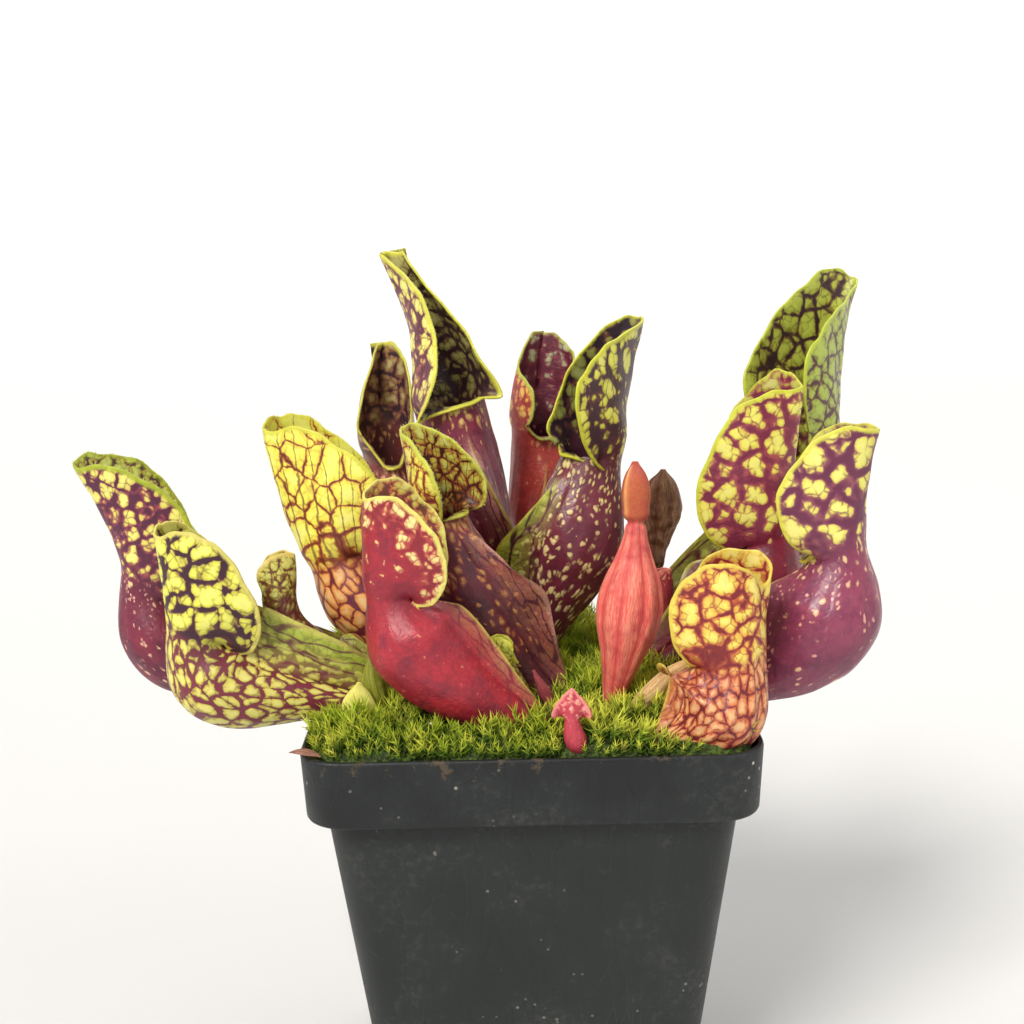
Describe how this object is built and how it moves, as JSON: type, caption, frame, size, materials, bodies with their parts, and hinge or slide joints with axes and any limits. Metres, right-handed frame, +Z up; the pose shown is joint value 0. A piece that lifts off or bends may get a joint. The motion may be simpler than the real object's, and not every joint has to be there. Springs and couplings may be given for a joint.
{
  "type": "potted pitcher plant",
  "caption": "Pitcher plant with upright hollow, hooded, net-veined leaves standing in live moss in a square dark plastic nursery pot.",
  "frame": {"origin": "centre of the pot's flat underside", "axes": "+Z up; the side that the picture shows faces -Y, and +X is to the right in it"},
  "size_m": [0.2414, 0.1318, 0.2646],
  "materials": {
    "pot_plastic": "dull charcoal, finely scratched and dusty",
    "potting_mix": "rough dark peat and bark",
    "rhizome": "rough brown bark-like skin",
    "moss": "soft, bright yellow-green",
    "leaf_red": "smooth waxy leaf, crimson",
    "leaf_purple": "smooth waxy leaf, dark red-purple",
    "leaf_yellow": "smooth waxy leaf, yellow with red veins",
    "leaf_lime": "smooth waxy leaf, yellow-green with purple veins",
    "leaf_tan": "smooth waxy leaf, red-brown with maroon veins",
    "leaf_orange": "smooth waxy leaf, orange with red veins",
    "leaf_pink": "smooth young leaf, salmon pink",
    "dried_leaf": "papery dried leaf, straw brown"
  },
  "bodies": {
    "root": {"square_pot": "pot_plastic", "potting_mix": "potting_mix", "rhizome": "rhizome", "moss_carpet": "moss", "front_red_pitcher": "leaf_red", "front_left_pitcher": "leaf_lime", "far_left_pitcher": "leaf_purple", "yellow_hood_pitcher": "leaf_yellow", "striped_mouth_pitcher": "leaf_tan", "tall_left_pitcher": "leaf_purple", "back_left_pitcher": "leaf_tan", "back_centre_pitcher": "leaf_red", "centre_right_pitcher": "leaf_purple", "tall_right_pitcher": "leaf_lime", "right_middle_pitcher": "leaf_purple", "right_purple_pitcher": "leaf_purple", "front_right_pitcher": "leaf_orange", "green_young_pitcher": "leaf_lime", "green_sprout": "leaf_lime", "small_red_pitcher": "leaf_pink", "front_red_sprout": "leaf_pink", "unopened_pitcher": "leaf_pink", "yellow_bud": "leaf_yellow", "green_curled_bud": "leaf_lime", "red_bud": "leaf_red", "orange_bud": "leaf_orange", "dried_sheath": "dried_leaf", "dried_hood": "dried_leaf", "dried_strip": "dried_leaf", "leaf_scrap": "dried_leaf"}
  },
  "joints": []
}
